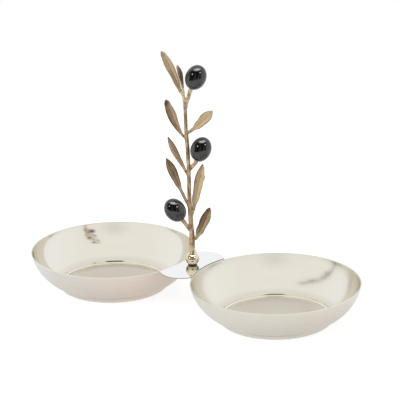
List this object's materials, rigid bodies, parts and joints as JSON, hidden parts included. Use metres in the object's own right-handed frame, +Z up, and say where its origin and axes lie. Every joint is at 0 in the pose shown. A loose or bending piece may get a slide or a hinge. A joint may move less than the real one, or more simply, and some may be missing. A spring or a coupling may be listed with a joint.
{
  "type": "olive dish",
  "caption": "Double olive dish: two shallow spun-steel bowls joined by a mirror-polished plate, with an upright brass olive branch carrying leaves and glossy black olives as its handle.",
  "frame": {"origin": "on the table, midway between the two bowls", "axes": "+X from the left bowl to the right bowl, +Z up, +Y across the bowls away from the pictured side"},
  "size_m": [0.3008, 0.14, 0.2171],
  "materials": {
    "satin_steel": "satin spun steel with a faint warm cast",
    "mirror_steel": "mirror polish",
    "polished_brass": "polished",
    "zinc_steel": "zinc plated",
    "stem_bronze": "antique brushed brass",
    "leaf_bronze": "antique brushed brass, darker in the hollows",
    "black_enamel": "glossy black enamel"
  },
  "bodies": {
    "root": {"left_bowl": "satin_steel", "right_bowl": "satin_steel", "connecting_plate": "mirror_steel", "base_ball": "polished_brass", "fixing_screw": "zinc_steel", "flat_washer": "zinc_steel", "lock_washer": "zinc_steel", "branch_stem": "stem_bronze", "leaf_1": "leaf_bronze", "leaf_2": "leaf_bronze", "leaf_3": "leaf_bronze", "leaf_4": "leaf_bronze", "leaf_5": "leaf_bronze", "leaf_6": "leaf_bronze", "leaf_7": "leaf_bronze", "leaf_8": "leaf_bronze", "olive_stalk_1": "stem_bronze", "olive_stalk_2": "stem_bronze", "olive_stalk_3": "stem_bronze", "olive_1": "black_enamel", "olive_2": "black_enamel", "olive_3": "black_enamel"}
  },
  "joints": []
}
